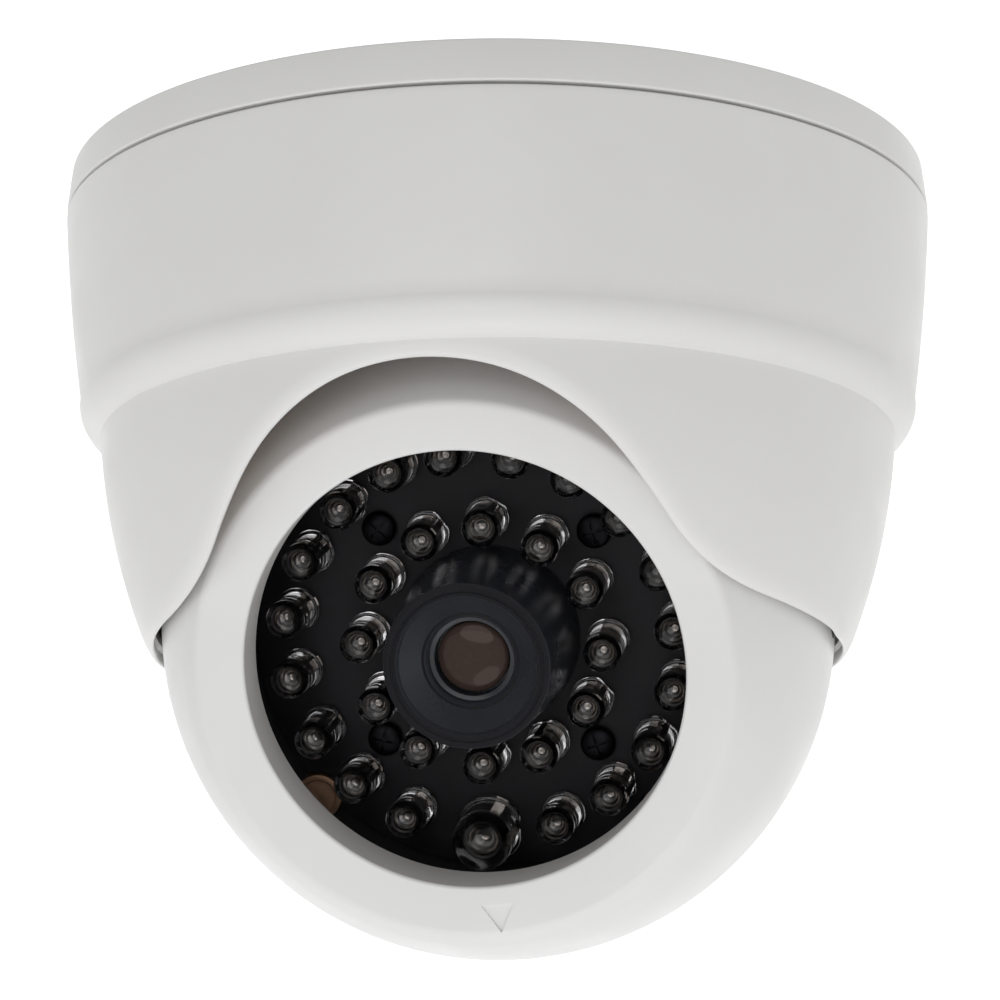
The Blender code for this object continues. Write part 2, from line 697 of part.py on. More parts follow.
make_base()
make_grommet()
COVER = make_cover()
make_pan_plate(COVER)
make_front_shell(COVER)
make_rear_shell()
make_boards()
make_leds()
make_lens()
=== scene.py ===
"""The looks of the ceiling dome camera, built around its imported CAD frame.

Metres, +Z up, origin at the centre of the ceiling face. Each piece that shows is a finely turned,
lofted or cut mesh that rides on a CAD body. The parts inside keep their CAD shape. All materials
are procedural.
"""

import json
import math
import random

import bmesh
import bpy
import numpy as np
from mathutils import Matrix, Vector


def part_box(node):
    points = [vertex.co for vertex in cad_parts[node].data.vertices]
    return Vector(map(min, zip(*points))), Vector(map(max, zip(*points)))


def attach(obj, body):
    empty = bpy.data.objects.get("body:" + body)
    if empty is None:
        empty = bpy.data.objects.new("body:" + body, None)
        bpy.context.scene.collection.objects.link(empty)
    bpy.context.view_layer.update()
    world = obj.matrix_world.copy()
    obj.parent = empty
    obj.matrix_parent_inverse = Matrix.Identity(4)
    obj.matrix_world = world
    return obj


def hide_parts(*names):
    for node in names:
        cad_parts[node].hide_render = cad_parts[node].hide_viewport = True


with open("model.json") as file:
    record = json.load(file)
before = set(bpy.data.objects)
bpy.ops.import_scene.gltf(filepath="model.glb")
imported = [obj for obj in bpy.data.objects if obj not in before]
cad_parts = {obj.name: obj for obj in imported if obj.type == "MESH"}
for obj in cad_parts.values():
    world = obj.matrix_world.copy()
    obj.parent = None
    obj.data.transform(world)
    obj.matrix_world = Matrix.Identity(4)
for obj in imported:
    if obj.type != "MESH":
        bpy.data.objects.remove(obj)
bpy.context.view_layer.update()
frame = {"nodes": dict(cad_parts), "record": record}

# ---------------------------------------------------------------- the frame's own measures
JOINTS = {joint["name"]: joint for joint in frame["record"]["behaviour"]["joints"]}
BALL_CENTRE = Vector(JOINTS["tilt"]["pos_m"])
FACE_NORMAL = Vector(JOINTS["roll"]["axis"]).normalized()


def node_box(node):
    low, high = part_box(node)
    return Vector(low), Vector(high)


def face_frame():
    """Local Z along the lens axis, local X to the right and local Y up for someone who looks at it."""
    right = Vector((1, 0, 0))
    up = FACE_NORMAL.cross(right).normalized()
    matrix = Matrix((right, up, FACE_NORMAL)).transposed().to_4x4()
    matrix.translation = BALL_CENTRE
    return matrix


FACE = face_frame()


def module_frame():
    """The face frame turned with the camera module, so that the first inner lamp lies along +X."""
    low, high = node_box("inner_led_01")
    place = FACE.inverted() @ ((low + high) / 2)
    return FACE @ Matrix.Rotation(math.atan2(place.y, place.x), 4, "Z")


MODULE = module_frame()


def local_span(node, matrix):
    """The node's middle (x, y), largest radius about it, and lowest and highest z in a frame."""
    inverse = matrix.inverted()
    points = np.array([inverse @ v.co for v in frame["nodes"][node].data.vertices])
    middle = (points[:, :2].min(0) + points[:, :2].max(0)) / 2
    radius = np.hypot(*(points[:, :2] - middle).T).max()
    return middle, float(radius), float(points[:, 2].min()), float(points[:, 2].max())


BASE_RADIUS = node_box("mounting_base")[1].x
COVER_TOP = node_box("dome_cover")[1].z
COVER_BOTTOM = node_box("dome_cover")[0].z

# The gap that is left between two parts that touch each other in the real camera.
SEAT = 0.0003

# ---------------------------------------------------------------- camera
# Fitted to the outlines of the base, cover, ball, mouth and lamps.
CAMERA_TURN = math.radians(10.5)
CAMERA_DISTANCE = 0.47408
CAMERA_DROP = 0.1586
CAMERA_PITCH = math.radians(13.553)
CAMERA_AIM = math.radians(10.47)
CAMERA_ROLL = math.radians(-0.125)
LENS_LENGTH = 129.6
SENSOR_WIDTH = 36.0

camera_data = bpy.data.cameras.new("photo_camera")
camera_data.lens = LENS_LENGTH
camera_data.sensor_width = SENSOR_WIDTH
camera_data.clip_start = 0.01
camera_data.clip_end = 50
camera = bpy.data.objects.new("photo_camera", camera_data)
bpy.context.scene.collection.objects.link(camera)
camera_place = Vector((
    CAMERA_DISTANCE * math.sin(CAMERA_TURN),
    -CAMERA_DISTANCE * math.cos(CAMERA_TURN),
    -CAMERA_DROP,
))
camera.matrix_world = (
    Matrix.Translation(camera_place)
    @ Matrix.Rotation(CAMERA_AIM, 4, "Z")
    @ Matrix.Rotation(math.radians(90) + CAMERA_PITCH, 4, "X")
    @ Matrix.Rotation(CAMERA_ROLL, 4, "Z")
)
bpy.context.scene.camera = camera
bpy.context.scene.view_settings.view_transform = "Standard"


# ---------------------------------------------------------------- materials
def new_material(name):
    material = bpy.data.materials.new(name)
    material.use_nodes = True
    nodes = material.node_tree.nodes
    links = material.node_tree.links
    shader = nodes["Principled BSDF"]
    coordinates = nodes.new("ShaderNodeTexCoord")
    return material, nodes, links, shader, coordinates.outputs["Object"]


def add_noise(nodes, links, coordinates, scale, detail):
    noise = nodes.new("ShaderNodeTexNoise")
    noise.inputs["Scale"].default_value = scale
    noise.inputs["Detail"].default_value = detail
    links.new(coordinates, noise.inputs["Vector"])
    return noise.outputs["Fac"]


# Noise values lie mostly between these two.
NOISE_LOW = 0.3
NOISE_HIGH = 0.7


def add_range(nodes, links, noise, low, high):
    spread = nodes.new("ShaderNodeMapRange")
    spread.inputs["From Min"].default_value = NOISE_LOW
    spread.inputs["From Max"].default_value = NOISE_HIGH
    spread.inputs["To Min"].default_value = low
    spread.inputs["To Max"].default_value = high
    links.new(noise, spread.inputs["Value"])
    return spread.outputs["Result"]


def vary_colour(nodes, links, shader, noise, colour_a, colour_b):
    mix = nodes.new("ShaderNodeMix")
    mix.data_type = "RGBA"
    mix.inputs["A"].default_value = (*colour_a, 1.0)
    mix.inputs["B"].default_value = (*colour_b, 1.0)
    links.new(add_range(nodes, links, noise, 0.0, 1.0), mix.inputs["Factor"])
    links.new(mix.outputs["Result"], shader.inputs["Base Color"])


def vary_roughness(nodes, links, shader, noise, low, high):
    links.new(add_range(nodes, links, noise, low, high), shader.inputs["Roughness"])


def add_bump(nodes, links, shader, height, strength, distance, previous=None):
    bump = nodes.new("ShaderNodeBump")
    bump.inputs["Strength"].default_value = strength
    bump.inputs["Distance"].default_value = distance
    links.new(height, bump.inputs["Height"])
    if previous:
        links.new(previous, bump.inputs["Normal"])
    links.new(bump.outputs["Normal"], shader.inputs["Normal"])
    return bump.outputs["Normal"]


def moulded_plastic(name, colour, darker, roughness, grain=0.10, specular=0.5):
    """Satin moulded plastic: slow mottling in colour and gloss, and a fine spark-eroded grain."""
    material, nodes, links, shader, coordinates = new_material(name)
    mottle = add_noise(nodes, links, coordinates, 55.0, 4.0)
    vary_colour(nodes, links, shader, mottle, darker, colour)
    smear = add_noise(nodes, links, coordinates, 130.0, 5.0)
    vary_roughness(nodes, links, shader, smear, roughness - 0.05, roughness + 0.06)
    shader.inputs["Specular IOR Level"].default_value = specular
    flow = add_noise(nodes, links, coordinates, 90.0, 2.0)
    waves = add_bump(nodes, links, shader, flow, 0.06, 0.0004)
    fine = add_noise(nodes, links, coordinates, 3200.0, 2.0)
    add_bump(nodes, links, shader, fine, grain, 0.00004, waves)
    return material


def metal(name, colour, roughness, relief=0.05):
    """Bare or plated metal with faint stains and a worn surface."""
    material, nodes, links, shader, coordinates = new_material(name)
    stain = add_noise(nodes, links, coordinates, 300.0, 4.0)
    darker = tuple(channel * 0.82 for channel in colour)
    vary_colour(nodes, links, shader, stain, darker, colour)
    shader.inputs["Metallic"].default_value = 1.0
    wear = add_noise(nodes, links, coordinates, 900.0, 3.0)
    vary_roughness(nodes, links, shader, wear, roughness * 0.8, roughness * 1.25)
    add_bump(nodes, links, shader, wear, relief, 0.00003)
    return material


def clear_epoxy(name, tint):
    """Water-clear lamp resin with slight flow marks."""
    material, nodes, links, shader, coordinates = new_material(name)
    haze = add_noise(nodes, links, coordinates, 700.0, 2.0)
    vary_roughness(nodes, links, shader, haze, 0.0, 0.04)
    flow = add_noise(nodes, links, coordinates, 420.0, 1.0)
    add_bump(nodes, links, shader, flow, 0.18, 0.00012)
    shader.inputs["Base Color"].default_value = (*tint, 1.0)
    shader.inputs["Transmission Weight"].default_value = 1.0
    shader.inputs["IOR"].default_value = 1.52
    return material


def solder_mask(name, colour, lighter, roughness, specular):
    """Lacquered board: faint raised copper tracks under a semi-gloss skin."""
    material, nodes, links, shader, coordinates = new_material(name)
    tracks = nodes.new("ShaderNodeTexBrick")
    tracks.inputs["Scale"].default_value = 170.0
    tracks.inputs["Mortar Size"].default_value = 0.035
    tracks.inputs["Mortar Smooth"].default_value = 0.4
    links.new(coordinates, tracks.inputs["Vector"])
    flow = add_noise(nodes, links, coordinates, 260.0, 3.0)
    vary_colour(nodes, links, shader, flow, colour, lighter)
    vary_roughness(nodes, links, shader, flow, roughness - 0.06, roughness + 0.08)
    shader.inputs["Specular IOR Level"].default_value = specular
    relief = add_bump(nodes, links, shader, tracks.outputs["Fac"], 0.08, 0.00003)
    add_bump(nodes, links, shader, flow, 0.08, 0.00005, relief)
    return material


def coated_glass(name, colour, lighter):
    """The front element: a dark dome with a warm anti-reflection coating."""
    material, nodes, links, shader, coordinates = new_material(name)
    dust = add_noise(nodes, links, coordinates, 1500.0, 3.0)
    vary_colour(nodes, links, shader, dust, colour, lighter)
    vary_roughness(nodes, links, shader, dust, 0.03, 0.09)
    shader.inputs["Specular IOR Level"].default_value = 0.22
    shader.inputs["Specular Tint"].default_value = (1.0, 0.86, 0.78, 1.0)
    return material


SHELL_WHITE = moulded_plastic("shell_white", (0.86, 0.855, 0.845), (0.84, 0.833, 0.82), 0.40)
BALL_WHITE = moulded_plastic("ball_white", (0.87, 0.868, 0.862), (0.85, 0.846, 0.838), 0.38)
# The cover's inside is tinted warm. This is painted warm light: it stands in for light that shines through
# the thin shell, and it turns the shade in the gap under the arch brown.
INNER_PAINTED_WARM_LIGHT = moulded_plastic("inner_painted_warm_light", (0.96, 0.80, 0.68), (0.93, 0.77, 0.65), 0.6)
# A darker copy of the ball's white for the mouth's inner wall: painted shade.
MOUTH_PAINTED_SHADE = moulded_plastic("mouth_painted_shade", (0.78, 0.76, 0.74), (0.74, 0.72, 0.70), 0.5)
SHROUD_BLACK = moulded_plastic("shroud_black", (0.026, 0.028, 0.035), (0.020, 0.022, 0.028), 0.30, 0.05)
# A darker, less glossy copy of the shroud black for the shroud's forward-facing faces: painted shade.
SHROUD_FRONT_PAINTED_SHADE = moulded_plastic("shroud_front_painted_shade", (0.006, 0.006, 0.008), (0.004, 0.004, 0.006), 0.38, 0.05, 0.16)
CARRIER_BLACK = moulded_plastic("carrier_black", (0.016, 0.016, 0.018), (0.010, 0.010, 0.012), 0.5)
RUBBER_BLACK = moulded_plastic("rubber_black", (0.030, 0.030, 0.031), (0.020, 0.020, 0.021), 0.75, 0.25)
ZINC = metal("zinc_plate", (0.56, 0.57, 0.58), 0.34, 0.15)
SCREW_BLACK = metal("black_oxide", (0.012, 0.012, 0.014), 0.42)
BRASS = metal("insert_brass", (0.66, 0.42, 0.28), 0.5)
SILVER = metal("lead_frame_silver", (0.36, 0.33, 0.30), 0.20)
# Dark rings in the lamp cups: partly the die's edge, partly painted reflections.
CUP_SHADE = metal("lead_frame_shade", (0.035, 0.033, 0.032), 0.35)
BOARD_BLACK = solder_mask("board_black", (0.008, 0.008, 0.010), (0.013, 0.013, 0.016), 0.42, 0.16)
BOARD_GREEN = solder_mask("board_green", (0.012, 0.10, 0.04), (0.02, 0.14, 0.06), 0.38, 0.5)
EPOXY = clear_epoxy("lamp_epoxy", (0.60, 0.59, 0.60))
LENS_GLASS = coated_glass("lens_glass_coated", (0.042, 0.028, 0.023), (0.048, 0.032, 0.027))
CHIP = moulded_plastic("sensor_window", (0.06, 0.05, 0.09), (0.04, 0.04, 0.06), 0.12)


# ---------------------------------------------------------------- mesh helpers
def finish_mesh(name, mesh, materials, body, replaces=(), sharp=35):
    """A shaded piece that rides on a body, in place of the CAD nodes that it replaces.

    Faces that meet at more than sharp degrees keep a hard edge.
    """
    mesh.validate()
    mesh.shade_smooth()
    mesh.set_sharp_from_angle(angle=math.radians(sharp))
    for material in materials:
        mesh.materials.append(material)
    piece = bpy.data.objects.new(name, mesh)
    bpy.context.scene.collection.objects.link(piece)
    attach(piece, body)
    if replaces:
        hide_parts(*replaces)


# A corner blunter than this half angle stays a point, and a fillet takes at most this share of an edge.
NEARLY_STRAIGHT = math.radians(88)
EDGE_SHARE = 0.48


def rounded(corners, closed=True, steps=5):
    """An outline of (radius, height, fillet) corners, with each fillet drawn as an arc."""
    points = []
    count = len(corners)
    for i, (x, y, fillet) in enumerate(corners):
        at_end = not closed and i in (0, count - 1)
        if fillet <= 0 or at_end:
            points.append((x, y))
            continue
        here = Vector((x, y))
        before = Vector(corners[i - 1][:2]) - here
        after = Vector(corners[(i + 1) % count][:2]) - here
        half = before.angle(after) / 2
        if half > NEARLY_STRAIGHT:
            points.append((x, y))
            continue
        reach = min(fillet / math.tan(half), EDGE_SHARE * before.length, EDGE_SHARE * after.length)
        start = here + before.normalized() * reach
        end = here + after.normalized() * reach
        radius = reach * math.tan(half)
        middle = here + (before.normalized() + after.normalized()).normalized() * radius / math.sin(half)
        first = start - middle
        turn = first.angle_signed(end - middle)
        for k in range(steps + 1):
            points.append(tuple(middle + Matrix.Rotation(-turn * k / steps, 2) @ first))
    return points


# A point nearer to the axis than this lies on it.
ON_AXIS = 1e-7


def turned_mesh(name, outline, matrix=Matrix(), steps=128, closed=True):
    """Turns a (radius, height) outline about local Z. Points on the axis become poles."""
    vertices, faces, rings = [], [], []
    for radius, height in outline:
        if radius < ON_AXIS:
            rings.append([len(vertices)] * steps)
            vertices.append((0.0, 0.0, height))
            continue
        rings.append(list(range(len(vertices), len(vertices) + steps)))
        for k in range(steps):
            angle = 2 * math.pi * k / steps
            vertices.append((radius * math.cos(angle), radius * math.sin(angle), height))
    pairs = list(zip(rings, rings[1:]))
    if closed:
        pairs.append((rings[-1], rings[0]))
    for upper, lower in pairs:
        for k in range(steps):
            after = (k + 1) % steps
            corners = [upper[k], lower[k], lower[after], upper[after]]
            ring = [v for j, v in enumerate(corners) if v != corners[j - 1]]
            if len(ring) > 2:
                faces.append(ring)
    mesh = bpy.data.meshes.new(name)
    mesh.from_pydata(vertices, [], faces)
    mesh.transform(matrix)
    recalculate(mesh)
    return mesh


def recalculate(mesh):
    """Turns every face outwards."""
    shape = bmesh.new()
    shape.from_mesh(mesh)
    bmesh.ops.recalc_face_normals(shape, faces=shape.faces)
    shape.to_mesh(mesh)
    shape.free()


def closed_grid(name, loops):
    """A mesh over closed loops of points, in which the last loop joins the first."""
    count = len(loops[0])
    faces = []
    for i in range(len(loops)):
        here, after = i * count, (i + 1) % len(loops) * count
        for k in range(count):
            below = (k + 1) % count
            faces.append((here + k, here + below, after + below, after + k))
    mesh = bpy.data.meshes.new(name)
    mesh.from_pydata([point for loop in loops for point in loop], [], faces)
    recalculate(mesh)
    return mesh


def box_mesh(size, centre):
    shape = bmesh.new()
    bmesh.ops.create_cube(shape, size=1.0)
    bmesh.ops.scale(shape, verts=shape.verts, vec=size)
    bmesh.ops.translate(shape, verts=shape.verts, vec=centre)
    mesh = bpy.data.meshes.new("block")
    shape.to_mesh(mesh)
    shape.free()
    return mesh


def sphere_arc(radius, start_depth, end_depth, count):
    """Points (distance from the axis, depth) on a sphere about the origin, between two depths."""
    start = math.asin(start_depth / radius)
    end = math.asin(end_depth / radius)
    angles = [start + (end - start) * i / count for i in range(count + 1)]
    return [(radius * math.cos(a), radius * math.sin(a)) for a in angles]


def joined(name, meshes):
    """One mesh that holds all the given ones."""
    shape = bmesh.new()
    for mesh in meshes:
        shape.from_mesh(mesh)
    result = bpy.data.meshes.new(name)
    shape.to_mesh(result)
    shape.free()
    return result


def cut(mesh, cutters):
    """Subtracts closed cutter meshes from a mesh and returns the result."""
    body = bpy.data.objects.new("cut_body", mesh)
    bpy.context.scene.collection.objects.link(body)
    tools = []
    for i, cutter in enumerate(cutters):
        recalculate(cutter)
        tool = bpy.data.objects.new(f"cut_tool_{i}", cutter)
        bpy.context.scene.collection.objects.link(tool)
        tools.append(tool)
        modifier = body.modifiers.new(f"cut_{i}", "BOOLEAN")
        modifier.operation = "DIFFERENCE"
        modifier.object = tool
    bpy.context.view_layer.update()
    graph = bpy.context.evaluated_depsgraph_get()
    result = bpy.data.meshes.new_from_object(body.evaluated_get(graph))
    for obj in [body, *tools]:
        bpy.data.objects.remove(obj, do_unlink=True)
    return result


def place_at(x, y, z=0.0):
    """A place in the camera module's frame."""
    return MODULE @ Matrix.Translation((x, y, z))


# ---------------------------------------------------------------- base
BASE_HEIGHT = 0.00575
BASE_TOP_RADIUS = BASE_RADIUS - 0.00065
BASE_RIM_WALL = 0.0028
PLATE = 0.0030
HUB_BORE = 0.0100
HUB_RADIUS = 0.0180
HUB_END = -0.01075
TOP_GROOVES = (0.0270, 0.0535)
GROOVE_WIDTH = 0.0012
GROOVE_DEPTH = 0.0005
FIXING_CIRCLE = 0.0400
FIXING_HOLE = 0.0024
FIXING_SINK = 0.0046
SINK_START = -0.0016
SINK_END = -0.0034


def groove_corners(radius):
    """A ring groove in the ceiling face, from its inner radius."""
    sides = ((0, 0), (0, -GROOVE_DEPTH), (GROOVE_WIDTH, -GROOVE_DEPTH), (GROOVE_WIDTH, 0))
    return [(radius + across, height, 0.0001) for across, height in sides]


def fixing_way(degrees):
    """A cutter for a screw hole through the plate, wider below for the screw's head."""
    angle = math.radians(degrees)
    place = Matrix.Translation((FIXING_CIRCLE * math.cos(angle), FIXING_CIRCLE * math.sin(angle), 0))
    above, below = 0.002, -0.006
    outline = [
        (0, above), (FIXING_HOLE, above), (FIXING_HOLE, SINK_START),
        (FIXING_SINK, SINK_END), (FIXING_SINK, below), (0, below),
    ]
    return turned_mesh("screw_way", outline, place, 40, closed=False)


def make_base():
    rim_inner = BASE_RADIUS - BASE_RIM_WALL
    outline = rounded([
        (HUB_BORE, 0, 0.0004),
        *[corner for radius in TOP_GROOVES for corner in groove_corners(radius)],
        (BASE_TOP_RADIUS, 0, 0.0005),
        (BASE_RADIUS, -BASE_HEIGHT, 0.0003),
        (rim_inner, -BASE_HEIGHT, 0.0002),
        (rim_inner, -PLATE, 0.0004),
        (HUB_RADIUS, -PLATE, 0.0005),
        (HUB_RADIUS, HUB_END, 0.0003),
        (HUB_BORE, HUB_END, 0.0003),
    ])
    mesh = turned_mesh("base_plate", outline, steps=256)
    mesh = cut(mesh, [fixing_way(90 + 120 * k) for k in range(3)])
    finish_mesh("base_plate", mesh, [SHELL_WHITE], "base", ["mounting_base"])


GROMMET_BORE = 0.0040
GROMMET_RADIUS = 0.0097
GROMMET_TOP = -0.0005
GROMMET_SEAT = -0.0075
GROMMET_SHOULDER = (0.0070, -0.0090)
GROMMET_NECK = 0.0056
GROMMET_END = -0.0125


def make_grommet():
    outline = rounded([
        (GROMMET_BORE, GROMMET_TOP, 0.0003),
        (GROMMET_RADIUS, GROMMET_TOP, 0.0009),
        (GROMMET_RADIUS, GROMMET_SEAT, 0.0003),
        (*GROMMET_SHOULDER, 0.0006),
        (GROMMET_NECK, GROMMET_END, 0.0004),
        (GROMMET_BORE, GROMMET_END, 0.0002),
    ])
    mesh = turned_mesh("rubber_grommet", outline, steps=72)
    finish_mesh("rubber_grommet", mesh, [RUBBER_BLACK], "base", ["cable_grommet"])


# ---------------------------------------------------------------- cover
DRUM_TOP = -0.0060
DRUM_TAPER = 0.048
DRUM_BULGE = 1.9
SHOULDER_TOP = -0.0317
SHOULDER_ROUND = 0.0047
CREASE_RADIUS = 0.0537
CREASE_HEIGHT = -0.0369
SKIRT_SLOPE = 0.065
SKIRT_BULGE = 6.0
COVER_WALL = 0.0019
BALL_RADIUS = 0.04505
BALL_CLEARANCE = 0.00045
ARCH_APEX = -0.0388
CROWN_RADIUS = 0.0350
CROWN_SLOPE = math.radians(13.5)
ARCH_RADIUS = 0.0295
ARCH_SLOPE = math.radians(56.3)
ARCH_FLANK = 0.0070
FLARE_RADIUS = 0.0150
FLARE_END = math.radians(10)
FLARE_RUN = 0.0200
FLANGE_INNER = 0.0470
FLANGE_THICKNESS = 0.0020


def drum_radius(height):
    """The outside of the upper part, which tapers and curves in a little more the lower it gets."""
    drop = DRUM_TOP - height
    return BASE_RADIUS - DRUM_TAPER * drop - DRUM_BULGE * drop * drop


def skirt_radius(height):
    """The outside below the crease."""
    drop = CREASE_HEIGHT - height
    return CREASE_RADIUS - SKIRT_SLOPE * drop - SKIRT_BULGE * drop * drop


def shoulder(count):
    """The round between drum and crease, from the drum's end to the crease."""
    start = Vector((drum_radius(SHOULDER_TOP), SHOULDER_TOP))
    end = Vector((CREASE_RADIUS, CREASE_HEIGHT))
    half = (end - start).length / 2
    back = math.sqrt(SHOULDER_ROUND**2 - half**2)
    along = (end - start) / (2 * half)
    centre = (start + end) / 2 + Vector((along.y, -along.x)) * back
    first = math.atan2(start.y - centre.y, start.x - centre.x)
    last = math.atan2(end.y - centre.y, end.x - centre.x)
    angles = [first + (last - first) * i / count for i in range(count + 1)]
    return [
        (centre.x + SHOULDER_ROUND * math.cos(a), centre.y + SHOULDER_ROUND * math.sin(a))
        for a in angles
    ]


def arc_points(start, radius, first, last, count, side):
    """Points that follow start on an arc, which slopes down from angle first to angle last."""
    x = start[0] - side * radius * math.sin(first)
    z = start[1] - side * radius * math.cos(first)
    angles = [first + (last - first) * i / count for i in range(1, count + 1)]
    return [(x + side * radius * math.sin(a), z + side * radius * math.cos(a)) for a in angles]


def arch_outline():
    """The right half of the cutout as (x, z) points, finely spaced, from the apex outwards."""
    points = [(0.0, ARCH_APEX)]
    points += arc_points(points[-1], CROWN_RADIUS, 0.0, CROWN_SLOPE, 20, 1)
    points += arc_points(points[-1], ARCH_RADIUS, CROWN_SLOPE, ARCH_SLOPE, 50, 1)
    x, z = points[-1]
    points.append((x + ARCH_FLANK * math.cos(ARCH_SLOPE), z - ARCH_FLANK * math.sin(ARCH_SLOPE)))
    points += arc_points(points[-1], FLARE_RADIUS, ARCH_SLOPE, FLARE_END, 40, -1)
    x, z = points[-1]
    for k in range(1, 21):
        run = FLARE_RUN * k / 20
        points.append((x + run * math.cos(FLARE_END), z - run * math.sin(FLARE_END)))
    return points


def edge_heights(turns):
    """The height of the cover's lower edge at each angle from the front."""
    bearings, heights = [], []
    for x, z in arch_outline():
        radius = skirt_radius(z)
        if x >= radius or z < COVER_BOTTOM:
            break
        bearings.append(math.asin(x / radius))
        heights.append(z)
    return np.interp(np.abs(turns), bearings, heights, right=COVER_BOTTOM)


def smooth_loop(values, passes):
    """Rounds off the corners of a closed run of values."""
    for _ in range(passes):
        values = 0.25 * np.roll(values, 1) + 0.5 * values + 0.25 * np.roll(values, -1)
    return values


COVER_COLUMNS = 480
EDGE_SMOOTHING = 6
DRUM_START = -0.0072
DRUM_MIDDLE = -0.0100
DRUM_INSIDE = -0.0180
LIP_REACH = 0.0023
LIP_ROOM = 0.85
LIP_STEPS = 9
SKIRT_STEPS = 18
INNER_STEPS = 14
WHITE_ROWS_INSIDE = 2


def outer_rows():
    """The outside from the flange's bore to the crease, the same all round, as (radius, height)."""
    rim = rounded([
        (FLANGE_INNER, COVER_TOP, 0),
        (drum_radius(COVER_TOP), COVER_TOP, 0.0004),
        (drum_radius(DRUM_MIDDLE), DRUM_MIDDLE, 0),
    ], closed=False)[:-1]
    drum = [(drum_radius(z), z) for z in np.linspace(DRUM_START, SHOULDER_TOP, 14)]
    return rim + drum + shoulder(16)[1:]


def inner_rows():
    """The inside from above the crease back to the flange's bore, as (radius, height)."""
    bottom = COVER_TOP - FLANGE_THICKNESS
    rows = [(radius - COVER_WALL, height) for radius, height in reversed(shoulder(8)[:-1])]
    rows += [(drum_radius(z) - COVER_WALL, z) for z in (DRUM_INSIDE, bottom)]
    return rows + [(FLANGE_INNER, bottom)]


def skirt_column(turn, edge, away_turn, away_up):
    """From the crease down the outside, round the lip and up the inside, as (turn, radius, height).

    The lip leaves the edge along (away_turn, away_up), which is at right angles to the edge.
    """
    narrowest = BALL_RADIUS + BALL_CLEARANCE
    edge_radius = skirt_radius(edge)
    wall = edge_radius - max(edge_radius - COVER_WALL, narrowest)
    reach = min(LIP_REACH, LIP_ROOM * (CREASE_HEIGHT - edge))
    inset_turn = turn + away_turn * reach / edge_radius
    inset_height = edge + away_up * reach
    column = []
    for k in range(1, SKIRT_STEPS + 1):
        share = k / SKIRT_STEPS
        z = CREASE_HEIGHT + (inset_height - CREASE_HEIGHT) * share
        column.append((turn + (inset_turn - turn) * share, skirt_radius(z), z))
    for k in range(1, 2 * LIP_STEPS):
        angle = math.pi * k / (2 * LIP_STEPS)
        back = reach * (1 - math.sin(angle))
        z = edge + away_up * back
        inward = wall * (1 - math.cos(angle)) / 2
        column.append((turn + away_turn * back / edge_radius, skirt_radius(z) - inward, z))
    for k in range(INNER_STEPS + 1):
        share = k / INNER_STEPS
        z = inset_height + (CREASE_HEIGHT - inset_height) * share
        radius = max(skirt_radius(z) - COVER_WALL, narrowest)
        column.append((inset_turn + (turn - inset_turn) * share, radius, z))
    return column


def make_cover():
    """A shell with the arch cut into its skirt and a rolled lip all along the lower edge."""
    turns = np.linspace(-math.pi, math.pi, COVER_COLUMNS, endpoint=False)
    heights = smooth_loop(edge_heights(turns), EDGE_SMOOTHING)
    run = skirt_radius(heights) * (turns[1] - turns[0])
    rise = (np.roll(heights, -1) - np.roll(heights, 1)) / 2
    length = np.hypot(run, rise)
    outside, inside = outer_rows(), inner_rows()
    loops = []
    for turn, edge, away_turn, away_up in zip(turns, heights, -rise / length, run / length):
        column = [(turn, *row) for row in outside]
        column += skirt_column(turn, edge, away_turn, away_up)
        column += [(turn, *row) for row in inside]
        loops.append([(radius * math.sin(t), -radius * math.cos(t), z) for t, radius, z in column])
    mesh = closed_grid("cover_shell", loops)
    first_inner = len(outside) + SKIRT_STEPS + 2 * LIP_STEPS - 1
    # Past its first rows, the inside takes the warm tint of painted light.
    for polygon in mesh.polygons:
        row = polygon.index % len(loops[0])
        polygon.material_index = 1 if row >= first_inner + WHITE_ROWS_INSIDE else 0
    finish_mesh(
        "cover_shell", mesh, [SHELL_WHITE, INNER_PAINTED_WARM_LIGHT], "cover", ["dome_cover"], 50
    )


# ---------------------------------------------------------------- ball
BALL_WALL = 0.0022
RIDGE_DEPTH = 0.0281
RIDGE_ROUND = 0.0016
RIDGE_INSET = 0.0004
RIDGE_BACK = 0.0022
MOUTH_RADIUS = 0.0285
MOUTH_DEPTH = 0.0276
MOUTH_BAND = 0.0004
MOUTH_EDGE = 0.0005
FACE_START = 0.0030
FACE_RISE = 0.0003
COLLAR_DEPTH = 0.0207
COLLAR_WALL = 0.0020
SPLIT_DEPTH = -0.0180
SNAP_CLEARANCE = 0.0005
SNAP_WALL = 0.0014
SNAP_REACH = 0.0042
REAR_HOLE = 0.0080
PIVOT_HOLE = 0.0039
PIVOT_START = 0.040
PIVOT_END = 0.047
MARK_TURN = math.radians(274.0)
MARK_CIRCLE = 0.0321
MARK_SIZE = 0.0025
MARK_TOP = 0.003
MARK_FLOOR = 0.00005


def triangle_prism(name, size, low, high, matrix):
    mesh = bpy.data.meshes.new(name)
    turns = [math.radians(120 * k) for k in range(3)]
    vertices = [(size * math.cos(a), size * math.sin(a), z) for z in (low, high) for a in turns]
    faces = [(2, 1, 0), (3, 4, 5), (0, 1, 4, 3), (1, 2, 5, 4), (2, 0, 3, 5)]
    mesh.from_pydata(vertices, [], faces)
    mesh.transform(matrix)
    return mesh


def pivot_way(side):
    """A cutter for the hole of the pivot on one side, along the tilt axis."""
    place = Matrix.Translation(BALL_CENTRE) @ Matrix.Rotation(math.radians(90 * side), 4, "Y")
    outline = [(0, PIVOT_END), (PIVOT_HOLE, PIVOT_END), (PIVOT_HOLE, PIVOT_START), (0, PIVOT_START)]
    return turned_mesh("pivot_way", outline, place, 32, closed=False)


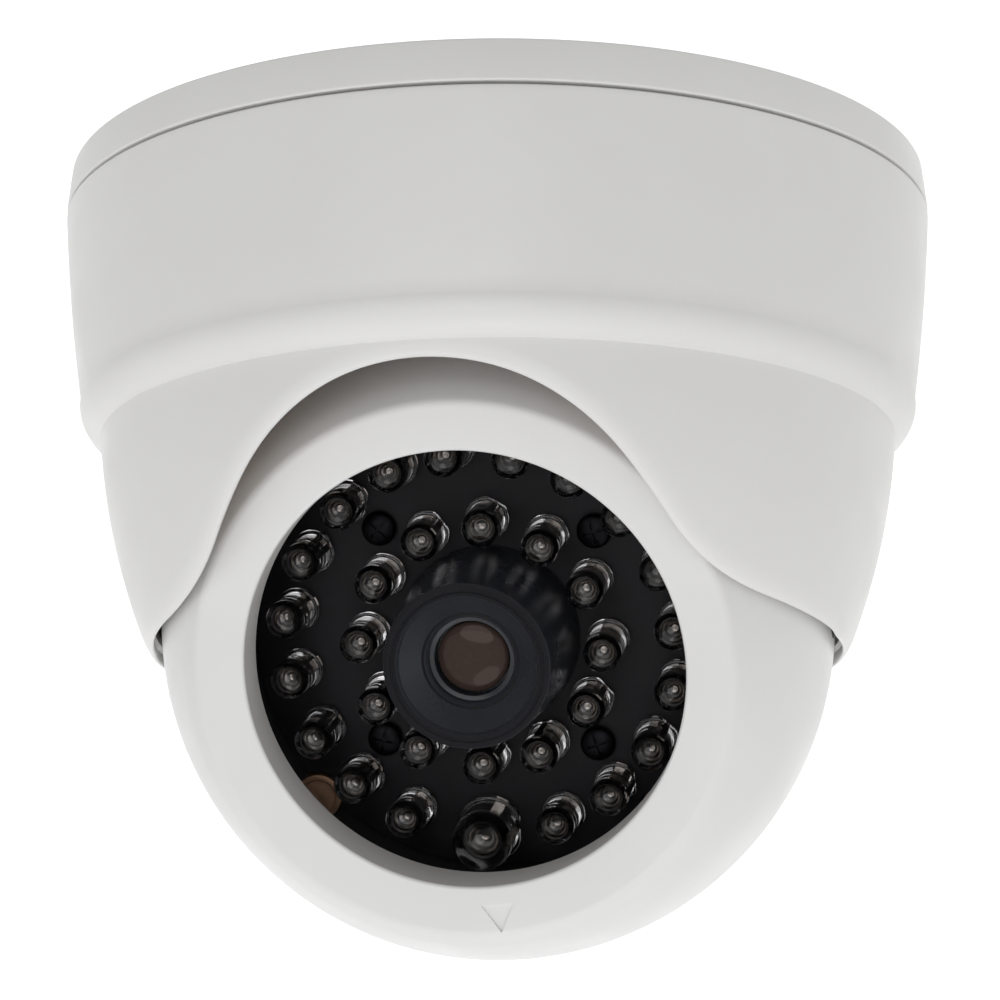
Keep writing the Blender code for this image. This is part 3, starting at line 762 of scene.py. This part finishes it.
def make_ball():
    """The front shell: mouth, flat ring face with its ridge, and the pressed triangle."""
    back = MOUTH_DEPTH - BALL_WALL
    ridge_radius = math.sqrt(BALL_RADIUS**2 - RIDGE_DEPTH**2)
    outside = sphere_arc(BALL_RADIUS, RIDGE_DEPTH - RIDGE_BACK, SPLIT_DEPTH, 40)
    inside = sphere_arc(BALL_RADIUS - BALL_WALL, SPLIT_DEPTH, back, 18)
    outline = rounded([
        (MOUTH_RADIUS + COLLAR_WALL, COLLAR_DEPTH, 0.0002),
        (MOUTH_RADIUS, COLLAR_DEPTH, 0.0002),
        (MOUTH_RADIUS, MOUTH_DEPTH, MOUTH_EDGE),
        (MOUTH_RADIUS + FACE_START, MOUTH_DEPTH + FACE_RISE, 0.004),
        (ridge_radius - RIDGE_INSET, RIDGE_DEPTH, RIDGE_ROUND),
        *[(*point, 0) for point in outside + inside],
        (MOUTH_RADIUS + COLLAR_WALL, back, 0),
    ], steps=8)
    mesh = turned_mesh("ball_front", outline, steps=256)
    mark = Matrix.Rotation(MARK_TURN, 4, "Z") @ Matrix.Translation((MARK_CIRCLE, 0, 0))
    pocket = triangle_prism("mark", MARK_SIZE, MOUTH_DEPTH + MARK_FLOOR, MOUTH_DEPTH + MARK_TOP, mark)
    mesh = cut(mesh, [pocket])
    # The mouth's inner wall takes the darker grey as painted shade.
    for polygon in mesh.polygons:
        middle = polygon.center
        at_mouth = abs(math.hypot(middle.x, middle.y) - MOUTH_RADIUS) < MOUTH_BAND
        polygon.material_index = 1 if at_mouth and middle.z < MOUTH_DEPTH - MOUTH_BAND else 0
    mesh.transform(FACE)
    mesh = cut(mesh, [pivot_way(side) for side in (1, -1)])
    finish_mesh("ball_front", mesh, [BALL_WHITE, MOUTH_PAINTED_SHADE], "ball", ["ball_front_shell"], 30)


def make_ball_back():
    """The rear shell, with the lip that snaps into the front one and the hole for the cable."""
    inner = BALL_RADIUS - BALL_WALL
    start = SPLIT_DEPTH - SEAT
    lip_outer = math.sqrt(inner**2 - SPLIT_DEPTH**2) - SNAP_CLEARANCE
    lip_inner = lip_outer - SNAP_WALL
    lip_back = -math.sqrt(inner**2 - lip_inner**2)
    hole_outer = -math.sqrt(BALL_RADIUS**2 - REAR_HOLE**2)
    hole_inner = -math.sqrt(inner**2 - REAR_HOLE**2)
    outside = sphere_arc(BALL_RADIUS, start, hole_outer, 30)
    inside = sphere_arc(inner, hole_inner, lip_back, 16)
    outline = rounded([
        (lip_inner, start + SNAP_REACH, 0.0002),
        (lip_outer, start + SNAP_REACH, 0.0004),
        (lip_outer, start, 0),
        (*outside[0], 0.0003),
        *[(*point, 0) for point in outside[1:] + inside],
    ])
    mesh = turned_mesh("ball_back", outline, FACE, 256)
    finish_mesh("ball_back", mesh, [BALL_WHITE], "ball", ["ball_rear_shell"], 30)


# ---------------------------------------------------------------- camera module
_, BOARD_RADIUS, BOARD_BACK, BOARD_FRONT = local_span("led_board", MODULE)
BOARD_BORE = 0.0092
BOARD_CHAMFER = 0.00015
BOARD_STEPS = 480
NOTCH_CIRCLE = 0.0330
NOTCH_RADIUS = 0.0034
NOTCH_TURNS = [math.radians(43.7 + 90 * k) for k in range(4)]
CARRIER_FRONT = local_span("module_carrier", MODULE)[3]


def board_reach(angle):
    """The board's edge radius at an angle, drawn in at the four round notches."""
    reach = BOARD_RADIUS
    for turn in NOTCH_TURNS:
        across = NOTCH_CIRCLE * math.sin(angle - turn)
        if math.cos(angle - turn) > 0 and abs(across) < NOTCH_RADIUS:
            middle = NOTCH_CIRCLE * math.cos(angle - turn)
            reach = min(reach, middle - math.sqrt(NOTCH_RADIUS**2 - across**2))
    return reach


def board_loop(height, radii, angles):
    return [(r * math.cos(a), r * math.sin(a), height) for r, a in zip(radii, angles)]


def make_board():
    """A ring-shaped board with chamfered edges."""
    angles = [2 * math.pi * k / BOARD_STEPS for k in range(BOARD_STEPS)]
    bore = [BOARD_BORE] * BOARD_STEPS
    edge = [board_reach(angle) for angle in angles]
    drawn_in = [radius - BOARD_CHAMFER for radius in edge]
    mesh = closed_grid("lamp_board", [
        board_loop(BOARD_FRONT, bore, angles),
        board_loop(BOARD_FRONT, drawn_in, angles),
        board_loop(BOARD_FRONT - BOARD_CHAMFER, edge, angles),
        board_loop(BOARD_BACK + BOARD_CHAMFER, edge, angles),
        board_loop(BOARD_BACK, drawn_in, angles),
        board_loop(BOARD_BACK, bore, angles),
    ])
    mesh.transform(MODULE)
    finish_mesh("lamp_board", mesh, [BOARD_BLACK], "module", ["led_board"], 30)


INSERT_RADIUS = 0.0031
INSERT_STAND = 0.0002
INSERT_DISH = 0.0022
INSERT_RIM = 0.0024


def make_inserts():
    """Four brass studs that stand on the carrier in the board's notches."""
    top = BOARD_FRONT + INSERT_STAND
    foot = CARRIER_FRONT + SEAT
    outline = rounded([
        (0, BOARD_FRONT, 0), (INSERT_DISH, BOARD_FRONT, 0.0001), (INSERT_RIM, top, 0.0001),
        (INSERT_RADIUS, top, 0.0002), (INSERT_RADIUS, foot, 0.0001), (0, foot, 0),
    ], closed=False)
    insert = turned_mesh("insert", outline, steps=48, closed=False)
    for k, turn in enumerate(NOTCH_TURNS):
        mesh = insert.copy()
        mesh.transform(place_at(NOTCH_CIRCLE * math.cos(turn), NOTCH_CIRCLE * math.sin(turn)))
        finish_mesh(f"brass_insert_{k + 1}", mesh, [BRASS], "module")


SCREW_CIRCLE = 0.0203
SCREW_HEAD = 0.0023
SCREW_SHANK = 0.0012
SCREW_CROWN = 0.0013
SCREW_EDGE = 0.0009
SCREW_END = 0.0020
CROSS_LENGTH = 0.0024
CROSS_WIDTH = 0.0004
CROSS_FLOOR = 0.0007
CROSS_TOP = 0.002


def make_board_screws():
    """Pan-head screws with a cross recess, each turned a little differently."""
    seat = BOARD_FRONT + SEAT
    outline = rounded([
        (0, seat + SCREW_CROWN, 0), (SCREW_SHANK, seat + SCREW_CROWN, 0),
        (SCREW_HEAD, seat + SCREW_EDGE, 0.0006), (SCREW_HEAD, seat, 0.0001),
        (SCREW_SHANK, seat, 0), (SCREW_SHANK, SCREW_END, 0), (0, SCREW_END, 0),
    ], closed=False)
    screw = turned_mesh("screw", outline, steps=48, closed=False)
    floor, top = seat + CROSS_FLOOR, seat + CROSS_TOP
    slot = box_mesh((CROSS_LENGTH, CROSS_WIDTH, top - floor), (0, 0, (floor + top) / 2))
    crossing = slot.copy()
    crossing.transform(Matrix.Rotation(math.radians(90), 4, "Z"))
    screw = cut(screw, [slot, crossing])
    for k in range(4):
        angle = math.radians(45 + 90 * k)
        mesh = screw.copy()
        spin = Matrix.Rotation(math.radians(17 + 31 * k), 4, "Z")
        mesh.transform(place_at(SCREW_CIRCLE * math.cos(angle), SCREW_CIRCLE * math.sin(angle)) @ spin)
        node = f"board_screw_{k + 1}"
        finish_mesh(f"cross_screw_{k + 1}", mesh, [SCREW_BLACK], "module", [node])


# ---------------------------------------------------------------- lamps
LAMP_LEAN = math.radians(2.6)
LAMP_FLANGE = 0.0010
LAMP_RADIUS = 0.0025
LAMP_STAND = 0.0004
LAMP_BARREL = 0.002
FLAT_STAND = 0.00005
SENSOR_RADIUS = 0.0040
DOME_STEPS = 14

# The lead frame of a lamp at scale 1: places out from the axis and down from the cup's rim
CUP_RINGS = (0.00022, 0.00036, 0.00050, 0.00064, 0.00078)
# Rings of the cup drawn dark: the die's edge, and painted reflections.
DARK_RINGS = (1, 3, 5)
CUP_DEPTH = 0.00065
RING_RISE = 0.15 * CUP_DEPTH
CUP_MOUTH = 0.00090
CUP_RIM = 0.0011
CUP_WAIST = (0.00095, 0.0012)
CUP_FOOT = (0.0004, 0.0017)
SHADE_REACH = 0.0012
POST_WIDTH = 0.0005
POST_DROP = 0.0016
SECOND_POST = 0.00155
SECOND_POST_WIDTH = 0.0007
SECOND_POST_DROP = 0.0002
LAMP_LEAD_SCALE = 1.1
LAMP_CUP_DROP = 0.0003
SENSOR_LEAD_SCALE = 1.5
SENSOR_CUP_DROP = 0.0004


def lamp_mesh(name, radius, flange_radius, tip):
    """A water-clear bullet that stands just off the board, with its flat on one side of the flange."""
    flange = LAMP_STAND
    shoulder_height = tip - radius
    dome = [math.radians(90) * (1 - i / DOME_STEPS) for i in range(DOME_STEPS + 1)]
    outline = [(radius * math.cos(a), shoulder_height + radius * math.sin(a)) for a in dome]
    outline += rounded([
        (radius, shoulder_height - LAMP_BARREL, 0),
        (radius, flange + LAMP_FLANGE, 0.0002),
        (flange_radius, flange + LAMP_FLANGE, 0.00015),
        (flange_radius, flange, 0.0001),
        (0, flange, 0),
    ], closed=False)
    mesh = turned_mesh(name, outline, steps=48, closed=False)
    for vertex in mesh.vertices:
        vertex.co.x = min(vertex.co.x, radius + FLAT_STAND)
    return mesh


def lead_frame_mesh(scale, rim):
    """The cup that holds the die, its post, and the second post, down to the board.

    The dark rings stand for the die's edge, and in part they are painted reflections in the cup.
    """
    floor = rim - CUP_DEPTH * scale
    cup = rounded([
        (0, floor, 0),
        *[(radius * scale, floor + RING_RISE * scale * i, 0) for i, radius in enumerate(CUP_RINGS)],
        (CUP_MOUTH * scale, rim, 0.00003),
        (CUP_RIM * scale, rim, 0.00005),
        (CUP_WAIST[0] * scale, rim - CUP_WAIST[1] * scale, 0.0001),
        (CUP_FOOT[0] * scale, rim - CUP_FOOT[1] * scale, 0),
        (0, rim - CUP_FOOT[1] * scale, 0),
    ], closed=False)
    post_top = rim - POST_DROP * scale
    second_top = rim - SECOND_POST_DROP * scale
    second_size = (POST_WIDTH, SECOND_POST_WIDTH * scale, second_top)
    mesh = joined("lead_frame", [
        turned_mesh("cup", cup, steps=32, closed=False),
        box_mesh((POST_WIDTH, POST_WIDTH, post_top), (0, 0, post_top / 2)),
        box_mesh(second_size, (SECOND_POST * scale, 0, second_top / 2)),
    ])
    for polygon in mesh.polygons:
        from_axis = math.hypot(polygon.center.x, polygon.center.y) / scale
        ring = sum(from_axis > radius for radius in CUP_RINGS)
        in_cup = from_axis < SHADE_REACH and polygon.center.z > floor - 0.0001
        polygon.material_index = 1 if in_cup and ring in DARK_RINGS else 0
    return mesh


def make_lamps():
    """The infrared lamps of both rings, each turned at random and leaning a little."""
    draw = random.Random(20)
    lamps = sorted(n for n in frame["nodes"] if n.startswith(("inner_led", "outer_led")))
    _, flange_radius, foot, tip = local_span(lamps[0], MODULE)
    bullet = lamp_mesh("bullet", LAMP_RADIUS, flange_radius, tip - foot)
    leads = lead_frame_mesh(LAMP_LEAD_SCALE, tip - foot - LAMP_RADIUS - LAMP_CUP_DROP)
    for node in lamps:
        x, y = local_span(node, MODULE)[0]
        spin = Matrix.Rotation(draw.uniform(0, 2 * math.pi), 4, "Z")
        lean = Matrix.Rotation(draw.uniform(-LAMP_LEAN, LAMP_LEAN), 4, "X")
        lean = lean @ Matrix.Rotation(draw.uniform(-LAMP_LEAN, LAMP_LEAN), 4, "Y")
        place_lamp(node.replace("led", "lamp"), node, bullet, leads, place_at(x, y, foot) @ lean @ spin)


def place_lamp(name, node, clear, leads, matrix):
    """The clear body in place of the CAD lamp, and the lead frame inside it."""
    clear = clear.copy()
    clear.transform(matrix)
    finish_mesh(name, clear, [EPOXY], "module", [node], 40)
    leads = leads.copy()
    leads.transform(matrix)
    finish_mesh(f"{name}_leads", leads, [SILVER, CUP_SHADE], "module", sharp=40)


def make_light_sensor():
    """A larger lamp body at the bottom of the board."""
    (x, y), flange_radius, foot, tip = local_span("light_sensor", MODULE)
    large = lamp_mesh("large", SENSOR_RADIUS, flange_radius, tip - foot)
    large.transform(place_at(x, y, foot))
    finish_mesh("light_sensor_lens", large, [EPOXY], "module", ["light_sensor"], 40)
    leads = lead_frame_mesh(SENSOR_LEAD_SCALE, tip - foot - SENSOR_RADIUS - SENSOR_CUP_DROP)
    leads.transform(place_at(x, y, foot))
    finish_mesh("light_sensor_leads", leads, [SILVER, CUP_SHADE], "module")


# ---------------------------------------------------------------- lens
_, SHROUD_BASE, _, SHROUD_TIP = local_span("lens_shroud", MODULE)
_, _, BARREL_BACK, BARREL_FRONT = local_span("lens_barrel", MODULE)
SHROUD_BORE = 0.0072
SHROUD_FLANGE = 0.0010
SHROUD_RIM = 0.0109
SHROUD_RIM_DEPTH = 0.0009
SHROUD_RIM_INNER = 0.0092
RIM_GROOVE_INNER = 0.0096
RIM_GROOVE_OUTER = 0.0101
RIM_GROOVE_DEPTH = 0.00025
LENS_LIP_DEPTH = 0.0040
LENS_HOLE = 0.0056
BARREL_RADIUS = 0.0069
BARREL_HEAD = 0.0068
BARREL_THREAD = 0.00605
BARREL_BORE = 0.0040
BARREL_LIP = 0.0055
GLASS_SEAT = 0.0025
GLASS_POCKET = 0.00495
GLASS_RADIUS = 0.00465
GLASS_EDGE = 0.0009
GLASS_CROWN = 0.0010

# Faces of the shroud whose normal has at least this much along the lens axis look forward, and they take a
# darker, less glossy black as painted shade.
FACING_FRONT = 0.8


def make_shroud():
    """A flange on the board, a cone, a grooved rim, and a dish down to the hole for the lens."""
    foot = BOARD_FRONT + SEAT
    tip = SHROUD_TIP
    lip = tip - LENS_LIP_DEPTH
    groove = tip - RIM_GROOVE_DEPTH
    draft = 0.0001
    outline = rounded([
        (LENS_HOLE, lip + 0.0003, 0.0002),
        (LENS_HOLE, lip + 0.0001, 0.0001),
        (SHROUD_BORE, lip, 0),
        (SHROUD_BORE, foot, 0),
        (SHROUD_BASE, foot, 0.0002),
        (SHROUD_BASE - draft, foot + SHROUD_FLANGE, 0.0003),
        (SHROUD_RIM, tip - SHROUD_RIM_DEPTH, 0.0002),
        (SHROUD_RIM, tip, 0.0003),
        (RIM_GROOVE_OUTER, tip, 0.0001),
        (RIM_GROOVE_OUTER - draft, groove, 0.00005),
        (RIM_GROOVE_INNER + draft, groove, 0.00005),
        (RIM_GROOVE_INNER, tip, 0.0001),
        (SHROUD_RIM_INNER, tip, 0.0002),
        (SHROUD_RIM_INNER - 0.0003, tip - 0.0005, 0.0003),
        (LENS_HOLE + 0.0008, lip + 0.0008, 0.0002),
        (LENS_HOLE + 0.0005, lip + 0.0009, 0.0001),
    ])
    mesh = turned_mesh("shroud", outline, steps=160)
    # Forward-facing faces take the darker black as painted shade.
    for polygon in mesh.polygons:
        polygon.material_index = 1 if polygon.normal.z > FACING_FRONT else 0
    mesh.transform(MODULE)
    finish_mesh("shroud", mesh, [SHROUD_BLACK, SHROUD_FRONT_PAINTED_SHADE], "module", ["lens_shroud"], 30)


def make_barrel():
    """The tube that holds the glass. Its thread is a plain neck."""
    seat = BARREL_FRONT - GLASS_SEAT
    outline = rounded([
        (GLASS_POCKET, BARREL_FRONT - 0.0002, 0.0001),
        (BARREL_LIP, BARREL_FRONT, 0.0001),
        (BARREL_RADIUS, BARREL_FRONT, 0.0002),
        (BARREL_RADIUS, BARREL_FRONT - BARREL_HEAD, 0.0002),
        (BARREL_THREAD, BARREL_FRONT - BARREL_HEAD, 0),
        (BARREL_THREAD, BARREL_BACK, 0.0002),
        (BARREL_BORE, BARREL_BACK, 0),
        (BARREL_BORE, seat, 0),
        (GLASS_POCKET, seat, 0),
    ])
    mesh = turned_mesh("lens_tube", outline, MODULE, 96)
    finish_mesh("lens_tube", mesh, [SHROUD_BLACK], "lens", ["lens_barrel"], 30)


def make_glass():
    """The domed front element on its seat in the barrel."""
    back = BARREL_FRONT - GLASS_SEAT + SEAT
    edge = back + GLASS_EDGE
    turns = np.linspace(0, math.pi / 2, 14)
    outline = [(GLASS_RADIUS * math.sin(a), edge + GLASS_CROWN * math.cos(a)) for a in turns]
    outline += [(GLASS_RADIUS, back), (0, back)]
    mesh = turned_mesh("front_glass", outline, MODULE, 96, closed=False)
    finish_mesh("front_glass", mesh, [LENS_GLASS], "lens", ["front_lens"], 60)


# ---------------------------------------------------------------- carried-over CAD nodes
def give(node, material):
    piece = frame["nodes"][node]
    piece.data.materials.clear()
    piece.data.materials.append(material)


def dress_cad_nodes():
    """The parts inside keep their CAD shape and take a material."""
    for node in ("retaining_ring", "pan_plate", "pivot_pin_left", "pivot_pin_right"):
        give(node, ZINC)
    for k in (1, 2, 3):
        give(f"ring_screw_{k}", ZINC)
        give(f"cover_screw_{k}", ZINC)
    for node in ("friction_bush_left", "friction_bush_right"):
        give(node, RUBBER_BLACK)
    for node in ("module_carrier", "lens_holder"):
        give(node, CARRIER_BLACK)
    give("sensor_board", BOARD_GREEN)
    give("image_sensor", CHIP)


# ---------------------------------------------------------------- stage and lights
# The world's strength is WORLD_LEVEL, plus WORLD_FRONT straight ahead of the camera and
# WORLD_RIGHT to its right, and less by as much on the opposite sides.
WORLD_LEVEL = 0.64
WORLD_FRONT = 0.50
WORLD_RIGHT = 0.10
FLOOR_SIZE = 16.0
FLOOR_HEIGHT = -1.20
FLOOR_GLOW = 0.16
BACKDROP_SIZE = 2.8
BACKDROP_AWAY = 2.2
BACKDROP_HEIGHT = 0.45
BACKDROP_GLOW = 1.0
LIGHT_TARGET = Vector((0, 0, -0.05))


def stage_plane(name, size, location, rotation, grey, glow):
    """A square sheet of grey paper that also glows white."""
    mesh = bpy.data.meshes.new(name)
    half = size / 2
    corners = [(-half, -half, 0), (half, -half, 0), (half, half, 0), (-half, half, 0)]
    mesh.from_pydata(corners, [], [(0, 1, 2, 3)])
    plane = bpy.data.objects.new(name, mesh)
    bpy.context.scene.collection.objects.link(plane)
    plane.location = location
    plane.rotation_euler = rotation
    material = bpy.data.materials.new(name)
    material.use_nodes = True
    shader = material.node_tree.nodes["Principled BSDF"]
    shader.inputs["Base Color"].default_value = (grey, grey, grey, 1.0)
    shader.inputs["Roughness"].default_value = 0.9
    shader.inputs["Emission Color"].default_value = (1, 1, 1, 1)
    shader.inputs["Emission Strength"].default_value = glow
    mesh.materials.append(material)


def soft_light(name, location, size, power):
    """A round area light that points at the part's middle."""
    light = bpy.data.lights.new(name, "AREA")
    light.shape = "DISK"
    light.size = size
    light.energy = power
    lamp = bpy.data.objects.new(name, light)
    bpy.context.scene.collection.objects.link(lamp)
    lamp.location = location
    lamp.rotation_euler = (LIGHT_TARGET - Vector(location)).to_track_quat("-Z", "Y").to_euler()


def dot_with(nodes, links, vector, direction):
    node = nodes.new("ShaderNodeVectorMath")
    node.operation = "DOT_PRODUCT"
    node.inputs[1].default_value = direction
    links.new(vector, node.inputs[0])
    return node.outputs["Value"]


def soft_world(turn):
    """A surround that is bright ahead of the camera, dim behind it, and a little brighter on the right."""
    world = bpy.data.worlds.new("studio")
    bpy.context.scene.world = world
    world.use_nodes = True
    nodes, links = world.node_tree.nodes, world.node_tree.links
    background = nodes["Background"]
    background.inputs["Color"].default_value = (1, 1, 1, 1)
    coordinates = nodes.new("ShaderNodeTexCoord")
    gradient = (
        -WORLD_FRONT * math.sin(turn) + WORLD_RIGHT * math.cos(turn),
        WORLD_FRONT * math.cos(turn) + WORLD_RIGHT * math.sin(turn),
        0.0,
    )
    change = dot_with(nodes, links, coordinates.outputs["Generated"], gradient)
    level = nodes.new("ShaderNodeMath")
    level.operation = "ADD"
    level.inputs[1].default_value = WORLD_LEVEL
    links.new(change, level.inputs[0])
    links.new(level.outputs["Value"], background.inputs["Strength"])


def make_studio():
    turn = CAMERA_TURN
    stage_plane("floor", FLOOR_SIZE, (0, 0, FLOOR_HEIGHT), (0, 0, 0), 0.9, FLOOR_GLOW)
    behind = (-BACKDROP_AWAY * math.sin(turn), BACKDROP_AWAY * math.cos(turn), BACKDROP_HEIGHT)
    stage_plane("backdrop", BACKDROP_SIZE, behind, (math.radians(90), 0, turn), 0.6, BACKDROP_GLOW)
    soft_world(turn)
    soft_light("below", (0.04, -0.32, -0.62), 0.35, 0.32)
    soft_light("front", (-0.05, -1.20, -0.16), 0.9, 2.9)


make_base()
make_grommet()
make_cover()
make_ball()
make_ball_back()
make_board()
make_inserts()
make_board_screws()
make_lamps()
make_light_sensor()
make_shroud()
make_barrel()
make_glass()
dress_cad_nodes()
make_studio()
